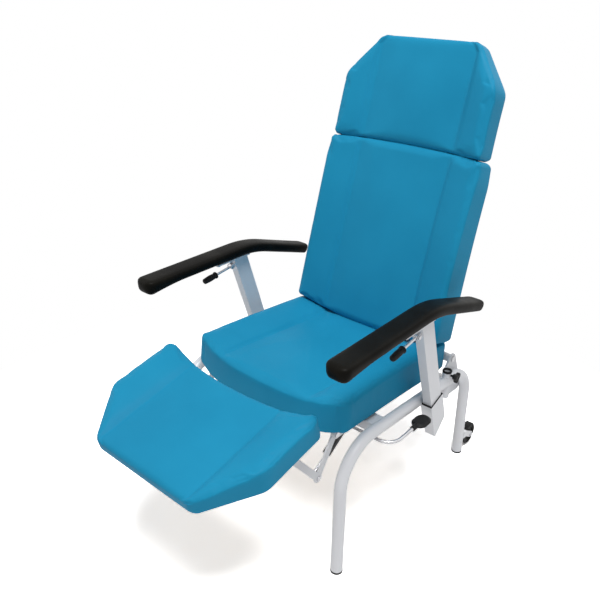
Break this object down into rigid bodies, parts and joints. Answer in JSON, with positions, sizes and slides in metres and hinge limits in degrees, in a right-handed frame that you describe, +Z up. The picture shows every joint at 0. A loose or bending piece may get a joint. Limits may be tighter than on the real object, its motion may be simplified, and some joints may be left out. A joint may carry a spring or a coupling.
{
  "type": "phlebotomy chair",
  "caption": "Reclining treatment chair with vinyl bucket cushions, gas-spring leg rest and back, sliding armrests, release paddle and transport wheels on a tubular frame.",
  "frame": {"origin": "On the floor under the middle of the chair's own box, seat facing the user as it stands on its four feet.", "axes": "X across the chair towards the sitter's left, which is the side with the release paddle, Y from the leg rest to the back, Z up."},
  "size_m": [0.6957, 1.124, 1.2241],
  "materials": {
    "frame_white": "white powder coat, semi-gloss",
    "vinyl_blue": "petrol-blue upholstery vinyl with a fine grain",
    "pad_black": "black integral-skin foam, satin",
    "plastic_black": "black moulded plastic",
    "spring_black": "black painted steel tube",
    "steel": "bright steel",
    "board": "plain plywood"
  },
  "bodies": {
    "base": {"side_frame_left": "frame_white", "side_frame_right": "frame_white", "foot_caps": "plastic_black", "front_rail": "frame_white", "rear_rail": "frame_white", "hinge_plates": "frame_white", "lower_cross_bar": "frame_white", "leg_clevises": "frame_white", "spring_anchor": "frame_white", "lever_guides": "frame_white", "sleeve_left": "frame_white", "sleeve_right": "frame_white", "glide_collars": "plastic_black", "accessory_sockets": "frame_white", "socket_bushes": "plastic_black", "wheel_forks": "frame_white", "wheel_axles": "steel", "seat_board": "board", "seat_cushion": "vinyl_blue", "board_screws": "steel", "leg_pins": "steel", "anchor_pins": "steel"},
    "wheel_left": {"wheel_left": "plastic_black"},
    "wheel_right": {"wheel_right": "plastic_black"},
    "backrest": {"back_frame": "frame_white", "back_board": "board", "back_cushion": "vinyl_blue", "head_board": "board", "head_cushion": "vinyl_blue", "back_pins": "steel", "back_lug_pin": "steel"},
    "leg_rest": {"leg_arms": "frame_white", "leg_bars": "frame_white", "leg_board": "board", "leg_cushion": "vinyl_blue", "knee_pins": "steel"},
    "leg_spring_cylinder": {"leg_spring_cylinder": "spring_black"},
    "leg_spring_rod": {"leg_spring_rod": "steel"},
    "back_spring_cylinder": {"back_spring_cylinder": "spring_black"},
    "back_spring_rod": {"back_spring_rod": "steel"},
    "release_lever": {"release_rod": "steel", "release_paddle": "plastic_black"},
    "armrest_left": {"post_left": "frame_white", "pad_plate_left": "frame_white", "pad_left": "pad_black", "arm_pins_left": "steel"},
    "armrest_right": {"post_right": "frame_white", "pad_plate_right": "frame_white", "pad_right": "pad_black", "arm_pins_right": "steel"},
    "arm_lever_left": {"arm_lever_left": "steel", "grip_left": "plastic_black"},
    "arm_lever_right": {"arm_lever_right": "steel", "grip_right": "plastic_black"},
    "knob_left": {"knob_left": "plastic_black"},
    "knob_right": {"knob_right": "plastic_black"}
  },
  "joints": [
    {"name": "back_recline", "type": "hinge", "parent": "base", "child": "backrest", "pos_m": [0, 0.3522, 0.374], "axis": [1, 0, 0], "range_deg": [-50, 0]},
    {"name": "leg_rest_tilt", "type": "hinge", "parent": "base", "child": "leg_rest", "pos_m": [0, -0.1458, 0.368], "axis": [1, 0, 0], "range_deg": [-10, 40]},
    {"name": "leg_cylinder_swing", "type": "hinge", "parent": "base", "child": "leg_spring_cylinder", "pos_m": [0.2005, -0.0808, 0.35], "axis": [1, 0, 0], "range_deg": [-7.9, 30.6]},
    {"name": "leg_rod_swing", "type": "hinge", "parent": "leg_rest", "child": "leg_spring_rod", "pos_m": [0.2005, -0.2078, 0.268], "axis": [1, 0, 0], "range_deg": [-10.4, 2.9]},
    {"name": "back_cylinder_swing", "type": "hinge", "parent": "base", "child": "back_spring_cylinder", "pos_m": [0, 0.4032, 0.287], "axis": [1, 0, 0], "range_deg": [-28.3, 0.4]},
    {"name": "back_rod_swing", "type": "hinge", "parent": "backrest", "child": "back_spring_rod", "pos_m": [0, 0.4002, 0.48], "axis": [1, 0, 0], "range_deg": [-0.4, 22.6]},
    {"name": "release_turn", "type": "hinge", "parent": "base", "child": "release_lever", "pos_m": [0, -0.0598, 0.335], "axis": [1, 0, 0], "range_deg": [0, 15], "stiffness_Nm_per_rad": 1.2, "springref_deg": -5.73},
    {"name": "arm_slide_left", "type": "slide", "parent": "base", "child": "armrest_left", "axis": [0, -0.3173, 0.9483], "range_m": [-0.085, 0.055]},
    {"name": "arm_lever_turn_left", "type": "hinge", "parent": "armrest_left", "child": "arm_lever_left", "pos_m": [0.3184, 0.0322, 0.603], "axis": [1, 0, 0], "range_deg": [-10, 0], "stiffness_Nm_per_rad": 0.3, "springref_deg": 17.19},
    {"name": "wheel_spin_left", "type": "hinge", "parent": "base", "child": "wheel_left", "pos_m": [0.284, 0.4882, 0.04], "axis": [1, 0, 0], "continuous": true},
    {"name": "knob_turn_left", "type": "hinge", "parent": "base", "child": "knob_left", "pos_m": [0.284, 0.2922, 0.35856], "axis": [1, 0, 0], "continuous": true},
    {"name": "arm_slide_right", "type": "slide", "parent": "base", "child": "armrest_right", "axis": [0, -0.3173, 0.9483], "range_m": [-0.085, 0.055]},
    {"name": "arm_lever_turn_right", "type": "hinge", "parent": "armrest_right", "child": "arm_lever_right", "pos_m": [-0.3184, 0.0322, 0.603], "axis": [1, 0, 0], "range_deg": [-10, 0], "stiffness_Nm_per_rad": 0.3, "springref_deg": 17.19},
    {"name": "wheel_spin_right", "type": "hinge", "parent": "base", "child": "wheel_right", "pos_m": [-0.284, 0.4882, 0.04], "axis": [1, 0, 0], "continuous": true},
    {"name": "knob_turn_right", "type": "hinge", "parent": "base", "child": "knob_right", "pos_m": [-0.284, 0.2922, 0.35856], "axis": [1, 0, 0], "continuous": true}
  ],
  "couplings": [
    {"joint": "leg_cylinder_swing", "follows": "leg_rest_tilt", "ratio": 0.7531},
    {"joint": "leg_rod_swing", "follows": "leg_rest_tilt", "ratio": -0.2469},
    {"joint": "back_cylinder_swing", "follows": "back_recline", "ratio": 0.5575},
    {"joint": "back_rod_swing", "follows": "back_recline", "ratio": -0.4425}
  ]
}
